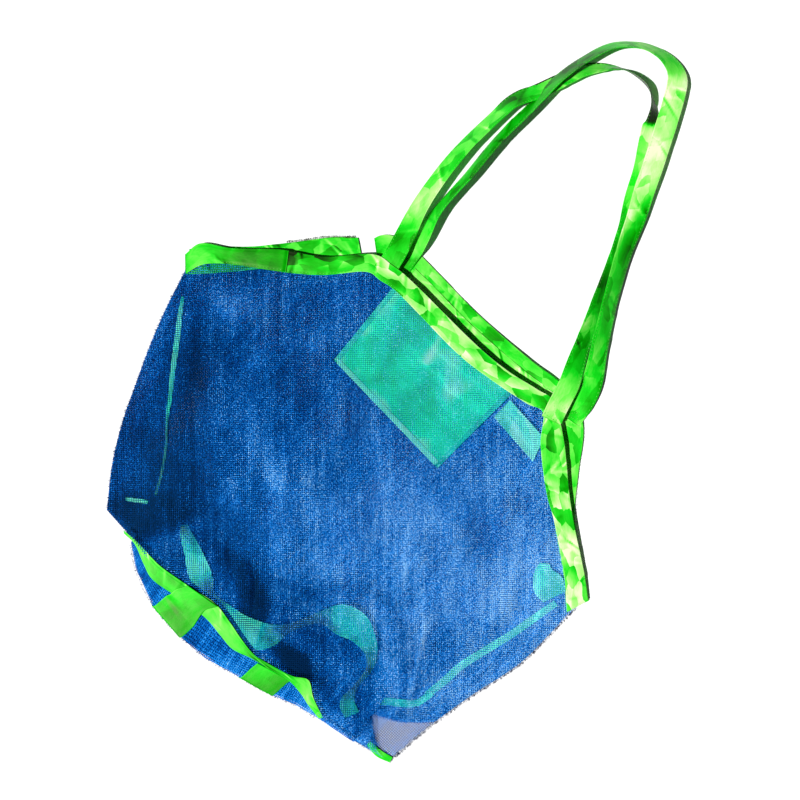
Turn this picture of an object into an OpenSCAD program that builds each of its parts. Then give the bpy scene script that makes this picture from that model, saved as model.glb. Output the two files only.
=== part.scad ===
// A large collapsible mesh beach tote, lying flat and half collapsed on one of its wide panels.
// X runs along the mouth, Y from the folded base towards the handles, Z up from the surface.

/* [Cloth] */
// Thickness of the mesh cloth
mesh_t = 0.9; // [0.6:0.1:1.1]
// Thickness of the ribbon, two layers of satin sewn together
ribbon_t = 0.6; // [0.4:0.1:0.7]

/* [Body] */
// Height of the crown of the upper panel over its edges
crown_h = 20; // [14:1:26]
// Height of the upper rim over the surface at the middle of the mouth
rim_z = 17; // [16:0.5:19]
// Depth of the inward fold of the base
base_fold = 137; // [120:1:150]

/* [Ribbons] */
// Width of each carrying handle
handle_w = 25; // [20:1:26]
// Width of the tape along the edges of the base
base_tape_w = 18; // [14:1:20]
// Width of the two straps across the base
base_strap_w = 46; // [36:1:50]
// Width of the tape over each side seam
seam_tape_w = 9; // [6:1:12]

/* [Pocket] */
// Gap between the two layers of the pocket
pocket_gap = 0.5; // [0.3:0.1:1]
// Width of the binding round the pocket
binding_w = 7; // [5:1:10]

/* [Hidden] */

green = [0.1, 0.85, 0.15];
blue = [0.1, 0.35, 0.7];
teal = [0.1, 0.75, 0.6];

// The base is drawn where it shows, between these two places along the mouth.
base_x0 = -164;
base_x1 = 174;
panel_z = 1.2;      // top of the lower panel
side_z = 2.4;       // the upper panel at the side folds
band_t = 1;         // thickness of the rim bands
under_z = 2;        // tapes on the lower panel
gap = 0.15;         // clearance between a piece and the one it is sewn on
thread = 0.8;       // width of a row of stitches

// Outer and inner edge of the lower rim band, from the left end of the mouth to the right.
back_outer = [
    [-317, -67], [-294, -47], [-259, -23], [-223, 8], [-187, 41], [-162, 58], [-131, 76],
    [-97, 86], [-60, 81], [14, 67], [94, 58], [129, 57], [164, 52], [194, 26], [220, -22],
    [246, -66], [288, -108], [317, -138]
];
back_inner = [
    [-303, -94], [-284, -71], [-243, -46], [-202, -10], [-166, 21], [-141, 38], [-116, 49],
    [-92, 55], [-63, 53], [10, 40], [88, 32], [123, 30], [149, 26], [172, 6], [198, -36],
    [227, -82], [272, -128], [301, -163]
];

// Outer and inner edge of the upper rim band, each point with its height under rim_z.
front_outer = [
    [-316, -69, -12], [-303, -50, -10], [-274, -37, -8], [-224, -5, -5], [-178, 17, -3],
    [-133, 52, -1], [-105, 55, 0], [-70, 52, 0], [22, 36, 0], [76, 31, 0], [119, 33, 0],
    [144, 32, -0.5], [180, 2, -2], [220, -44, -4], [249, -74, -6], [290, -112, -9], [315, -138, -11]
];
front_inner = [
    [-303, -94, -12], [-291, -72, -10], [-263, -53, -8], [-212, -28, -5], [-167, -2, -3],
    [-128, 30, -1], [-107, 32, 0], [-75, 31, 0], [15, 14, 0], [68, 11, 0], [118, 12, 0],
    [141, 14, -0.5], [161, -19, -2], [199, -61, -4], [228, -85, -6], [274, -130, -9], [302, -164, -11]
];

// Side folds of the bag, from the mouth down to the base.
left_side = [[-308, -84], [-304, -110], [-299, -144], [-290, -188], [-277, -238], [-264, -284],
    [-245, -332], [-219, -380]];
right_side = [[308, -153], [301, -200], [294, -240], [284, -270], [267, -311], [250, -360],
    [240, -395], [230, -433]];

// The outermost fold of the base, and the edge where the upper panel is sewn to it.
base_outer = [[-219, -380], [-173, -393], [-149, -416], [-109, -439], [-61, -451], [-21, -455],
    [24, -451], [69, -446], [98, -440], [128, -438], [179, -437], [230, -433]];
base_edge = [[-219, -380], [-173, -388], [-133, -399], [-92, -404], [-48, -404], [-14, -414],
    [20, -421], [60, -416], [92, -412], [106, -422], [128, -432], [179, -433], [230, -433]];

// Handle centre lines: place of the ribbon's middle, and how far its inner edge is turned up.
front_path = [
    [-110, 67, 16, 5], [-112, 82, 15.5, 12], [-120, 135, 14, 35], [-122, 188, 13.5, 40],
    [-122, 251, 10.5, 30], [-115, 299, 5, 8], [-85, 346, 3, 0], [-62, 375, 3, 0],
    [-39, 394, 4, 5], [-15, 404, 9, 35], [8, 406, 14.5, 65], [30, 398, 14, 60],
    [47, 378, 8, 20], [58, 350, 3, 0], [68, 322, 3, 0], [82, 290, 3, 0], [97, 250, 9, 28],
    [114, 185, 13, 38], [131, 110, 16.5, 32], [147, 62, 19.5, 4], [149, 44.5, 19.5, 0]
];
back_path = [
    [-97, 86, 6, 8], [-97, 100, 9.5, 30], [-96, 141, 16, 70], [-89, 194, 16.5, 78],
    [-85, 251, 16, 68], [-76, 301, 15.5, 44], [-70, 350, 14.5, 30], [-57, 395, 13.5, 28],
    [-35, 426, 11, 25], [-5, 438, 9.5, 15], [22, 441, 9, 8], [45, 432, 9, 4], [56, 408, 9.5, 0],
    [64, 380, 10, 0], [73, 348, 10, 0], [84, 312, 10, 3], [98, 270, 13, 14], [115, 225, 15, 30],
    [134, 170, 15.5, 36], [156, 114, 14, 28], [172, 74, 9, 6], [175, 52, 6.5, 0]
];
handle_t = 1.2;

// The pocket's four corners: two on the rim, two hanging at the far end.
pocket_corners = [[-91, 27, 13.4], [98, 8, 13.4], [77, -112, 2.6], [-99, -77, 2.6]];
tab_corners = [[104, 4, 6.5], [152, -3, 6.5], [157, -34, 4.5], [101, -19, 4.5]];

// --- curves and sheets ---

// A smooth curve through the points p, at s from 0 to 1.
function spline_at(p, s) =
    let (n = len(p) - 1, k = min(max(s, 0), 1) * n, i = min(floor(k), n - 1), f = k - i,
         a = i > 0 ? p[i - 1] : 2 * p[0] - p[1], b = p[i], c = p[i + 1],
         d = i + 2 <= n ? p[i + 2] : 2 * p[n] - p[n - 1])
    0.5 * (2 * b + (c - a) * f + (2 * a - 5 * b + 4 * c - d) * f * f
        + (3 * b - a - 3 * c + d) * f * f * f);
function spline(p, steps) = [for (k = [0:steps]) spline_at(p, k / steps)];
function unit(v) = v / max(norm(v), 1e-9);
function flip(p) = [for (i = [len(p) - 1:-1:0]) p[i]];

// The direction square to a grid of points at row i and column j.
function grid_normal(g, i, j) =
    let (n = len(g) - 1, m = len(g[0]) - 1)
    unit(cross(g[min(i + 1, n)][j] - g[max(i - 1, 0)][j], g[i][min(j + 1, m)] - g[i][max(j - 1, 0)]));
// The same grid, moved out along its own normals.
function raised(g, by) =
    [for (i = [0:len(g) - 1]) [for (j = [0:len(g[0]) - 1]) g[i][j] + by * grid_normal(g, i, j)]];

// A closed thin sheet whose middle surface is the grid g.
module sheet(g, t) {
    n = len(g) - 1;
    m = len(g[0]) - 1;
    w = m + 1;
    count = (n + 1) * w;
    above = raised(g, t / 2);
    below = raised(g, -t / 2);
    points = concat([for (row = above) each row], [for (row = below) each row]);
    faces = concat(
        [for (i = [0:n - 1], j = [0:m - 1]) let (a = i * w + j) each
            [[a, a + 1, a + w + 1], [a, a + w + 1, a + w],
             [count + a, count + a + w, count + a + w + 1],
             [count + a, count + a + w + 1, count + a + 1]]],
        [for (j = [0:m - 1]) let (a = j, b = n * w + j) each
            [[a + 1, a, count + a], [a + 1, count + a, count + a + 1],
             [b, b + 1, count + b + 1], [b, count + b + 1, count + b]]],
        [for (i = [0:n - 1]) let (a = i * w, b = i * w + m) each
            [[a, a + w, count + a + w], [a, count + a + w, count + a],
             [b + w, b, count + b], [b + w, count + b, count + b + w]]]
    );
    polyhedron(points = points, faces = faces, convexity = 10);
}

// A ribbon of width w along path, whose points hold x, y, z and the turn of the inner edge.
function ribbon_grid(path, w, steps) =
    let (c = spline(path, steps))
    [for (k = [0:steps])
        let (here = [c[k][0], c[k][1], c[k][2]],
             next = c[min(k + 1, steps)], last = c[max(k - 1, 0)],
             along = unit([next[0] - last[0], next[1] - last[1], next[2] - last[2]]),
             side = unit(cross(along, [0, 0, 1])),
             up = cross(side, along),
             across = cos(c[k][3]) * side + sin(c[k][3]) * up)
        [for (j = [-1:1]) here + across * (j * w / 2)]];

// --- the upper panel's surface ---

function band_point(p) = [p[0], p[1], rim_z + p[2]];
front_top = [for (i = [0:len(front_outer) - 1])
    (band_point(front_outer[i]) + band_point(front_inner[i])) / 2 - [0, 0, 1.8]];
front_bottom_z = [2.6, 14.4, 14.8, 14.8, 14.8, 14.8, 14.8, 14.8, 14.8, 14.8, 14.8, 14.4, 2.8];
front_bottom = [for (i = [0:len(base_edge) - 1]) [base_edge[i][0], base_edge[i][1], front_bottom_z[i]]];
// Height of a side fold, which is lowest away from the mouth.
function side_points(p, top_z) =
    [for (i = [0:len(p) - 1]) [p[i][0], p[i][1], i == 0 ? top_z : side_z]];
front_left = side_points(left_side, front_top[0][2]);
front_right = side_points(right_side, front_top[len(front_top) - 1][2]);

// A point of the upper panel: u along the mouth, v from the mouth to the base.
function front_point(u, v) =
    let (t = spline_at(front_top, u), b = spline_at(front_bottom, u),
         l = spline_at(front_left, v), r = spline_at(front_right, v),
         tl = front_top[0], tr = front_top[len(front_top) - 1],
         bl = front_bottom[0], br = front_bottom[len(front_bottom) - 1],
         flat = (1 - v) * t + v * b + (1 - u) * l + u * r
             - (1 - u) * (1 - v) * tl - u * (1 - v) * tr - (1 - u) * v * bl - u * v * br)
    flat + [0, 0, crown_h * pow(sin(180 * u), 0.7) * pow(sin(180 * v), 1.6)];

// --- the folded base ---

function edge_y(x) = lookup(x, base_edge);
function outer_y(x) = lookup(x, base_outer);
lip_z = 13;         // height of the sewn edge of the base
// The base's fold seen from the side: how far in from the outermost fold, and how high.
function base_profile(x) =
    let (d = max(edge_y(x) - outer_y(x), 3.5))
    [[d, lip_z], [d * 0.55 + 1.2, 12.2], [2.6, 11], [1.4, 9.2], [2.6, 7.6], [12, 7.2],
     [60, 7.4], [base_fold - 4, 7.4], [base_fold, 5.4], [base_fold - 4, 3.6], [60, 3.2], [4, 2.6]];
function base_grid(x0, x1, steps, first, last) =
    [for (i = [0:steps]) let (x = x0 + (x1 - x0) * i / steps, p = base_profile(x))
        [for (j = [first:last]) [x, outer_y(x) + p[j][0], p[j][1]]]];

// --- sub-parts ---

module back_panel() {
    top = [for (i = [0:len(back_outer) - 1]) (back_outer[i] + back_inner[i]) / 2];
    outline = concat(spline(top, 60), [for (k = [1:20]) spline_at(right_side, k / 20)],
        [for (k = [1:35]) spline_at(flip(base_outer), k / 36)],
        [for (k = [0:19]) spline_at(flip(left_side), k / 20)]);
    color(blue) linear_extrude(panel_z) polygon(outline);
}

module front_panel() {
    nu = 32;
    nv = 20;
    color(blue) sheet([for (i = [0:nu]) [for (j = [0:nv]) front_point(i / nu, 1 - j / nv)]], mesh_t);
}

module base_panel() {
    color(blue) sheet(base_grid(base_x0, base_x1, 30, 0, 11), mesh_t);
}

module band(outer, inner, steps) {
    o = spline(outer, steps);
    i = spline(inner, steps);
    color(green) sheet([for (k = [0:steps]) [for (s = [0:0.5:1]) i[k] + (o[k] - i[k]) * s]], band_t);
}

module rim_band_back() {
    z = panel_z + 0.8;
    band([for (p = back_outer) [p[0], p[1], z]], [for (p = back_inner) [p[0], p[1], z]], 60);
}

module rim_band_front() {
    band([for (p = front_outer) band_point(p)], [for (p = front_inner) band_point(p)], 60);
}

module flat_tape(path, w, steps) {
    color(green) sheet(ribbon_grid([for (p = path) [p[0], p[1], p[2], 0]], w, steps), ribbon_t);
}

module side_seam_tape_left() {
    z = under_z;
    flat_tape([[-291, -118, z], [-262, -176, z], [-233, -229, z], [-205, -283, z], [-180, -330, z]],
        seam_tape_w, 16);
}

module side_seam_tape_right() {
    z = under_z;
    flat_tape([[285, -165, z], [263, -226, z], [240, -282, z], [221, -340, z]], seam_tape_w, 16);
}

module base_tape_front() {
    x0 = base_x0 + 6;
    x1 = 124;
    inner_z = 17.2;
    middle_z = 16;
    outer_z = 14.6;
    steps = 30;
    color(green) sheet([for (i = [0:steps])
        let (x = x0 + (x1 - x0) * i / steps, d = max(edge_y(x) - outer_y(x), 3.5),
             out = min(base_tape_w / 2, d * 0.6))
        [[x, edge_y(x) + base_tape_w / 2, inner_z], [x, edge_y(x), middle_z], [x, edge_y(x) - out, outer_z]]],
        ribbon_t);
}

// The far edge of the base has drawn up inside the bag and lies in waves on the fold.
module base_tape_back() {
    z = 9.2;
    flat_tape([[-138, -345, z], [-98, -350, z], [-64, -372, z], [-32, -396, z], [8, -398, z],
        [42, -376, z], [66, -338, z], [100, -318, z], [134, -332, z], [148, -364, z], [146, -398, z]],
        base_tape_w * 0.8, 60);
}

module base_tape_left() {
    z = under_z;
    flat_tape([[-205, -372, z], [-190, -352, z], [-176, -346, z]], base_tape_w / 2, 8);
}

module base_tape_right() {
    z = under_z;
    flat_tape([[197, -426, z], [214, -429, z], [229, -427, z]], base_tape_w * 0.4, 8);
}

module base_strap(x) {
    g = base_grid(x - base_strap_w / 2, x + base_strap_w / 2, 6, 1, 6);
    color(green) sheet(raised(g, -(mesh_t + ribbon_t) / 2 - gap), ribbon_t);
}

module base_strap_left() {
    base_strap(-79);
}

module base_strap_right() {
    base_strap(51);
}

module handle_front() {
    color(green) sheet(ribbon_grid(front_path, handle_w, 90), handle_t);
}

module handle_back() {
    color(green) sheet(ribbon_grid(back_path, handle_w, 90), handle_t);
}

// One flat end of a handle, sewn down: its middle, length along Y and height.
module sewn_end(x, y0, y1, z) {
    color(green) translate([x - handle_w / 2, y0, z]) cube([handle_w, y1 - y0, handle_t]);
}

module handle_front_sewn_ends() {
    sewn_end(-110, 34, 65, 12.6);
    sewn_end(149, 12, 38, rim_z + 1.1);
}

module handle_back_sewn_ends() {
    sewn_end(-97, 58, 84, 2.8);
    sewn_end(175, 26, 50, 2.8);
}

// Two rows of stitches and a cross on each sewn end that shows.
module stitch_box(x, y0, y1, z) {
    w = handle_w - 8;
    long = norm([w, y1 - y0]);
    turn = atan2(y1 - y0, w);
    translate([x, (y0 + y1) / 2, z]) {
        for (side = [-1, 1]) {
            translate([-w / 2, (side * (y1 - y0) - thread) / 2, 0]) cube([w, thread, thread / 2]);
            rotate([0, 0, side * turn]) translate([-long / 2, -thread / 2, 0])
                cube([long, thread, thread / 2]);
        }
    }
}

module handle_stitching() {
    color(teal) {
        stitch_box(149, 16, 34, rim_z + 1.1 + handle_t + 0.05);
        stitch_box(175, 36, 48, 2.8 + handle_t + 0.05);
    }
}

// The pocket's surface, u across and v down from the rim, raised by z.
function pocket_point(u, v, z) =
    let (p = pocket_corners)
    (1 - v) * ((1 - u) * p[0] + u * p[1]) + v * ((1 - u) * p[3] + u * p[2])
        + [0, 0, z - 2 * sin(180 * v)];
function pocket_grid(z, steps) =
    [for (i = [0:steps]) [for (j = [0:steps]) pocket_point(i / steps, 1 - j / steps, z)]];

module pocket_front() {
    color(teal) sheet(pocket_grid((ribbon_t + pocket_gap) / 2, 8), ribbon_t);
}

module pocket_back() {
    color(teal) sheet(pocket_grid(-(ribbon_t + pocket_gap) / 2, 8), ribbon_t);
}

module pocket_binding() {
    z = ribbon_t * 1.5 + pocket_gap / 2 + gap;
    wide = binding_w / 180;     // as shares of the pocket's width and depth
    deep = binding_w / 118;
    steps = 8;
    color(green) {
        sheet([for (i = [0:steps]) [for (v = [1, 1 - deep]) pocket_point(i / steps, v, z)]], ribbon_t);
        for (u = [0, 1 - wide])
            sheet([for (s = [0, wide]) [for (j = [0:steps])
                pocket_point(u + s, (1 - deep - 0.01) * (1 - j / steps), z)]], ribbon_t);
    }
}

module inner_tab() {
    p = tab_corners;
    color(green) sheet([for (u = [0:0.25:1]) [for (v = [1, 0.5, 0])
        (1 - v) * ((1 - u) * p[0] + u * p[1]) + v * ((1 - u) * p[3] + u * p[2])]], ribbon_t);
}

back_panel();
front_panel();
base_panel();
rim_band_back();
rim_band_front();
side_seam_tape_left();
side_seam_tape_right();
base_tape_front();
base_tape_back();
base_tape_left();
base_tape_right();
base_strap_left();
base_strap_right();
handle_front();
handle_back();
handle_front_sewn_ends();
handle_back_sewn_ends();
handle_stitching();
pocket_front();
pocket_back();
pocket_binding();
inner_tab();
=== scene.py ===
"""A collapsible mesh tote bag, lying flat and half collapsed, seen from straight above."""

import math

import bpy
import numpy as np
from mathutils import Matrix, Vector


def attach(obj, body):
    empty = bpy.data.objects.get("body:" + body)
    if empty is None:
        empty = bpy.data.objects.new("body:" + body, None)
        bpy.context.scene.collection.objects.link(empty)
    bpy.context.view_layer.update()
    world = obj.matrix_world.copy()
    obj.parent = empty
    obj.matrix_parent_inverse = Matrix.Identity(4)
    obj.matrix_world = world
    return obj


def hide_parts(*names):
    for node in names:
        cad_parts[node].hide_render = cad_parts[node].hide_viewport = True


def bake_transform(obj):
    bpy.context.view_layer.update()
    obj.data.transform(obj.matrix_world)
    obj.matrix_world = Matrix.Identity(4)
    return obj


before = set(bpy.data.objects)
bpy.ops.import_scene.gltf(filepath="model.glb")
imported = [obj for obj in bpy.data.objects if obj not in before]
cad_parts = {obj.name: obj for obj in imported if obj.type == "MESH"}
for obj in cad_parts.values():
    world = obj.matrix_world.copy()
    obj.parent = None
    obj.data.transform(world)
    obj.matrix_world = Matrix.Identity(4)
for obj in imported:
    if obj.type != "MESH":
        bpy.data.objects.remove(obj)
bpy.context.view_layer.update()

MM = 0.001
UP = np.array([0.0, 0.0, 1.0])

# ---------------------------------------------------------------- routes and outlines, in mm
# They repeat the part's own routes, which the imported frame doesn't hold as curves.

RIM_Z = 17.0
BACK_OUTER = [(-317, -67), (-294, -47), (-259, -23), (-223, 8), (-187, 41), (-162, 58), (-131, 76),
              (-97, 86), (-60, 81), (14, 67), (94, 58), (129, 57), (164, 52), (194, 26), (220, -22),
              (246, -66), (288, -108), (317, -138)]
BACK_INNER = [(-303, -94), (-284, -80), (-243, -46), (-202, -10), (-166, 21), (-141, 38), (-116, 49),
              (-92, 55), (-63, 53), (10, 40), (88, 32), (123, 30), (149, 26), (172, 6), (198, -36),
              (227, -82), (272, -128), (301, -163)]
# The third number is the height under RIM_Z.
FRONT_OUTER = [
    (-317, -75, -12), (-308, -53, -10), (-274, -37, -8), (-224, -5, -5), (-178, 17, -3),
    (-133, 52, -1), (-105, 55, 0), (-70, 52, 0), (22, 36, 0), (76, 31, 0), (119, 33, 0),
    (144, 32, -0.5), (180, 2, -2), (220, -44, -4), (249, -74, -6), (290, -112, -9),
    (315, -138, -11)]
FRONT_INNER = [
    (-303, -94, -12), (-291, -72, -10), (-263, -53, -8), (-212, -28, -5), (-167, -2, -3),
    (-128, 30, -1), (-107, 32, 0), (-75, 31, 0), (15, 14, 0), (68, 11, 0), (118, 12, 0),
    (141, 14, -0.5), (161, -19, -2), (199, -61, -4), (228, -85, -6), (274, -130, -9),
    (302, -164, -11)]
LEFT_SIDE = [(-308, -84), (-304, -110), (-299, -144), (-290, -188), (-277, -238), (-264, -284),
             (-245, -332), (-219, -380)]
RIGHT_SIDE = [(308, -153), (301, -200), (294, -240), (284, -270), (267, -311), (250, -360),
              (240, -395), (230, -433)]
BASE_OUTER = [(-219, -380), (-173, -393), (-149, -416), (-109, -439), (-61, -451), (-21, -455),
              (24, -451), (69, -446), (98, -440), (128, -438), (179, -437), (230, -433)]
BASE_EDGE = [(-219, -380), (-173, -388), (-133, -399), (-92, -404), (-48, -404), (-14, -414),
             (20, -421), (60, -416), (92, -412), (106, -422), (128, -432), (179, -433), (230, -433)]
# Each handle's middle line, how far its inner edge is turned up in degrees, how pale the satin is painted
# there as painted light and shade, and sometimes how much paler its outer edge is painted, as painted light.
FRONT_HANDLE = [
    (-112, 34, 13.6, 0, 0.5), (-110, 50, 14.4, 0, 0.5), (-110, 67, 16, 5, 0.55),
    (-113, 90, 15.5, 14, 0.42), (-119, 130, 14, 32, 0.8), (-120, 165, 13.5, 38, 0.78),
    (-118, 205, 13, 42, 0.6), (-113, 240, 11.5, 46, 0.7), (-106, 275, 9, 46, 0.6),
    (-102, 294, 7.5, 42, 0.4), (-95, 309, 6.5, 36, 0.3), (-84, 324, 6, 34, 0.62),
    (-70, 348, 6, 36, 0.7), (-55, 374, 6.5, 42, 0.6),
    (-36, 393, 7, 52, 0.7), (-10, 405, 12, 72, 0.1), (18, 404, 14.5, 76, 0.02),
    (37, 392, 13, 66, 0.02), (49, 377, 8, 40, 0.05), (54, 367, 5, 12, 0.8),
    (63, 348, 3.4, 0, 0.85), (75, 321, 3, 0, 0.8), (85, 290, 3.4, 0, 0.7), (98, 250, 9, 28, 0.45),
    (110, 205, 12, 36, 0.3, 0.2), (118, 170, 13.5, 38, 0.34), (128, 130, 15.5, 36, 0.62, 0.3),
    (136, 96, 17, 28, 0.4), (146, 62, 19.5, 4, 0.66),
    (149, 44, 19.5, 0, 0.75), (151, 30, 19.0, 0, 0.85), (154, 12, 18.6, 0, 0.72)]
BACK_HANDLE = [
    (-97, 58, 3.4, 0, 0.4), (-97, 72, 4.2, 0, 0.4), (-97, 86, 6, 8, 0.6),
    (-97, 100, 9.5, 30, 0.6), (-99, 141, 12.4, 60, 0.55), (-93, 194, 12.4, 62, 0.45),
    (-88, 251, 12.4, 60, 0.45), (-79, 301, 12.4, 58, 0.42), (-71, 350, 12.6, 58, 0.34),
    (-57, 390, 12.8, 58, 0.3), (-40, 420, 12.5, 58, 0.5), (-14, 439, 11.5, 54, 0.72),
    (8, 444, 12, 46, 0.66), (24, 443, 13, 34, 0.62), (38, 437, 14, 20, 0.72),
    (47, 427, 15, 6, 0.92), (55, 408, 15.5, 0, 0.84), (65, 378, 16, 0, 0.84),
    (73, 352, 16, 0, 0.98, 0.1), (81, 326, 16, 0, 0.98, 0.2), (89, 298, 15.5, 3, 0.82, 0.3),
    (99, 268, 15, 14, 0.7, 0.6), (111, 225, 15, 30, 0.5, 0.5), (130, 170, 15.5, 36, 0.5, 0.2),
    (153, 114, 14, 28, 0.6), (170, 76, 9, 6, 0.55), (175, 52, 6.5, 0, 0.55),
    (175, 40, 4.4, 0, 0.7), (175, 26, 3.6, 0, 0.7)]
# How pale the two bands' satin is painted, as painted light and shade, at the same places as their outlines'
# points.
FRONT_TONE = [0.52, 0.66, 0.34, 0.34, 0.5, 0.68, 0.88, 0.82, 0.84, 0.82, 0.86, 0.75, 0.66, 0.78, 0.88,
              0.97, 1.0]
BACK_TONE = [0.5, 0.5, 0.5, 0.6, 0.66, 0.55, 0.45, 0.55, 0.72, 0.6, 0.62, 0.72, 0.8, 0.75, 0.7, 0.7,
             0.7, 0.7]
HANDLE_W = 25.0
BAND_SEAM, RIBBON_SEAM = 0.82, 0.84        # where stitches run, from the middle (0) to the edge (1)
FAR_BAND_Z = 2.0
FLAT_TAPE_Z, FLAT_TAPE_FLOOR = 2.2, 1.4    # the narrow tapes between the two panels
POCKET = [(-90, 36, 13.7), (99, 16, 13.7), (77, -112, 2.6), (-99, -77, 2.6)]
TAB = [(101, 5, 6.5), (160, -9, 6.5), (166, -40, 4.5), (97, -23, 4.5)]
# Tapes seen through the near panel: x, y, width and tone, which carries painted light and shade. SEAM_SHADE
# darkens those on the side seams.
SEAM_SHADE = 0.82
SEAM_LEFT = [(-291, -118, 3, 0.5), (-281, -138, 5.5, 0.95), (-265, -168, 6.5, 0.95), (-249, -199, 6, 0.85),
             (-234, -226, 5, 0.7), (-222, -250, 4, 0.5), (-206, -274, 3, 0.35), (-192, -302, 3, 0.35),
             (-181, -332, 3, 0.2)]
SEAM_RIGHT = [(286, -163, 8, 0.95), (275, -193, 9, 1.0), (263, -226, 9, 1.0), (250, -256, 9, 0.9),
              (236, -290, 9, 0.98), (230, -316, 9, 0.9), (222, -342, 8, 0.8)]
SEAM_RIGHT_FOOT = [(226, -336, 8, 0.8), (218, -356, 8, 0.75), (205, -366, 9, 0.7), (190, -374, 9, 0.5),
                   (172, -386, 7, 0.3)]
BACK_TAPE = [
    (-132, -340, 8, 0.2), (-122, -349, 15, 0.42), (-104, -361, 21, 0.6), (-86, -375, 27, 0.68),
    (-71, -384, 22, 0.3), (-56, -391, 9, 0.08), (-34, -396, 18, 0.4), (-8, -401, 30, 0.66),
    (14, -398, 34, 0.66), (27, -389, 28, 0.4), (42, -368, 10, 0.04), (62, -340, 13, 0.08),
    (84, -326, 36, 0.5), (104, -322, 36, 0.64), (122, -327, 26, 0.45), (138, -337, 16, 0.32),
    (147, -354, 8, 0.12), (146, -382, 6, 0.05), (149, -402, 18, 0.42), (162, -411, 18, 0.4)]
BASE_TAPE_TOP = [(-187, -386, 12), (-168, -387, 14), (-144, -392, 15), (-124, -395, 16), (-88, -395, 16),
                 (-48, -394, 16), (-21, -402, 16), (0, -410, 16), (24, -417, 16), (46, -416, 16),
                 (76, -412, 16), (95, -405, 16), (112, -419, 16), (135, -432, 14)]
BASE_TAPE_LOW = [(-184, -389, 11), (-166, -392, 13), (-144, -405, 13.5), (-124, -414, 14), (-88, -414, 14),
                 (-48, -415, 14), (-21, -422, 14), (0, -427, 14), (24, -423, 15.5), (46, -421, 16),
                 (76, -419, 16), (98, -424, 15), (112, -430, 14), (131, -436, 13)]
# The near base tape's tone at each point, which carries painted light and shade.
BASE_TAPE_TONE = [0.6, 0.6, 0.62, 0.56, 0.5, 0.66, 0.68, 0.6, 0.45, 0.45, 0.5, 0.7, 0.72, 0.66]

# ---------------------------------------------------------------- curves


def at(points, s):
    """Points at each s from 0 to 1 of a smooth curve that has the same share of s in each stretch."""
    p = np.array(points, float)
    n = len(p) - 1
    ext = np.vstack([2 * p[0] - p[1], p, 2 * p[n] - p[n - 1]])
    k = np.clip(np.asarray(s, float), 0, 1) * n
    i = np.minimum(k.astype(int), n - 1)
    f = (k - i)[..., None]
    a, b, c, d = ext[i], ext[i + 1], ext[i + 2], ext[i + 3]
    return 0.5 * (2 * b + (c - a) * f + (2 * a - 5 * b + 4 * c - d) * f ** 2
                  + (3 * b - a - 3 * c + d) * f ** 3)


def spline(points, steps):
    return at(points, np.linspace(0, 1, steps + 1))


def even(rows, step):
    """The same polyline with its rows a step apart, measured over the first three columns."""
    seg = np.linalg.norm(np.diff(rows[:, :3], axis=0), axis=1)
    s = np.concatenate([[0], np.cumsum(seg)])
    n = max(int(round(s[-1] / step)), 2)
    t = np.linspace(0, s[-1], n + 1)
    return np.stack([np.interp(t, s, rows[:, c]) for c in range(rows.shape[1])], axis=1)


def between(a, b, share):
    """The outline that lies a share of the way from a to b."""
    return [tuple((1 - share) * np.array(p) + share * np.array(q)) for p, q in zip(a, b)]


def unit(v):
    return v / np.maximum(np.linalg.norm(v, axis=-1, keepdims=True), 1e-9)


def smooth(x, a, b):
    t = np.clip((x - a) / (b - a), 0, 1)
    return t * t * (3 - 2 * t)


def inside(x, y, polygon):
    """Whether each point lies in a polygon."""
    hit = np.zeros(np.shape(x), bool)
    for (ax, ay), (bx, by) in zip(polygon, polygon[1:] + polygon[:1]):
        crosses = (ay > y) != (by > y)
        hit ^= crosses & (x < (bx - ax) * (y - ay) / (by - ay if by != ay else 1e-9) + ax)
    return hit


def distance(x, y, line):
    """How far each point is from a polyline."""
    best = np.full(np.shape(x), 1e9)
    for (ax, ay), (bx, by) in zip(line, line[1:]):
        dx, dy = bx - ax, by - ay
        t = np.clip(((x - ax) * dx + (y - ay) * dy) / (dx * dx + dy * dy), 0, 1)
        best = np.minimum(best, np.hypot(x - ax - t * dx, y - ay - t * dy))
    return best


def value_noise(x, y, seed):
    """Smooth noise from -1 to 1 over the plane, the same on each run."""
    table = np.random.default_rng(seed).uniform(-1, 1, (64, 64))
    xi, yi = np.floor(x).astype(int), np.floor(y).astype(int)
    fx, fy = x - xi, y - yi
    fx, fy = fx * fx * (3 - 2 * fx), fy * fy * (3 - 2 * fy)
    a, b = table[xi % 64, yi % 64], table[(xi + 1) % 64, yi % 64]
    c, d = table[xi % 64, (yi + 1) % 64], table[(xi + 1) % 64, (yi + 1) % 64]
    return (a * (1 - fx) + b * fx) * (1 - fy) + (c * (1 - fx) + d * fx) * fy


# ---------------------------------------------------------------- meshes


def grid_faces(rows, cols, closed=False):
    """Quads over a grid of rows x cols vertices. closed joins the last column to the first."""
    i = np.arange(rows - 1)[:, None]
    j = np.arange(cols if closed else cols - 1)[None, :]
    k = (j + 1) % cols
    return np.stack([i * cols + j, (i + 1) * cols + j, (i + 1) * cols + k, i * cols + k],
                    axis=-1).reshape(-1, 4)


def add_object(name, data):
    obj = bpy.data.objects.new(name, data)
    bpy.context.scene.collection.objects.link(obj)
    return obj


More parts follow.
